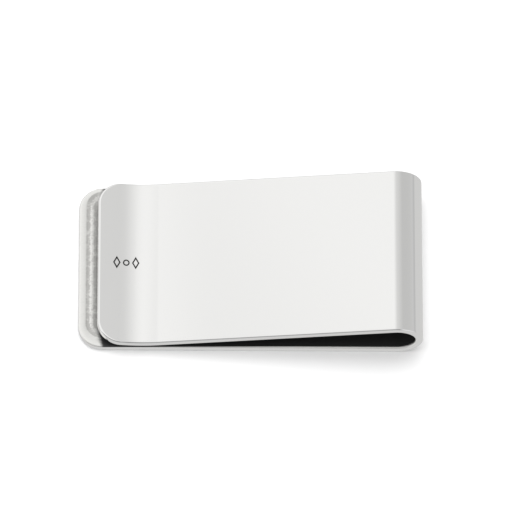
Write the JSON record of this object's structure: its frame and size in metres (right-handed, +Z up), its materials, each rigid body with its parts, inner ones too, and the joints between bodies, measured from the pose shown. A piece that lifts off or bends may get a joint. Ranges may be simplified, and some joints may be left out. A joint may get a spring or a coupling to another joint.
{
  "type": "money clip",
  "caption": "Polished silver money clip: one strip folded into a springy U, whose flared front leaf presses folded banknotes against a longer back leaf.",
  "frame": {"origin": "on the surface that the back leaf rests on, halfway along the clip's length and width", "axes": "+X along the clip towards the bend, +Y across its width, +Z up from the back leaf towards the front leaf"},
  "size_m": [0.0494, 0.0254, 0.0075],
  "materials": {
    "back_silver": "sterling silver, mirror polished outside, satin on the inner face",
    "bend_silver": "sterling silver, mirror polished outside, satin on the inner face",
    "front_silver": "sterling silver, mirror polished, with small blackened stamped shapes"
  },
  "bodies": {
    "back": {"back_leaf": "back_silver", "spring_bend": "bend_silver"},
    "front": {"front_leaf": "front_silver"}
  },
  "joints": [
    {"name": "leaf_flex", "type": "hinge", "parent": "back", "child": "front", "pos_m": [0.021, 0, 0.00375], "axis": [0, 1, 0], "range_deg": [0, 8], "stiffness_Nm_per_rad": 6, "deforming": ["spring_bend"]}
  ]
}
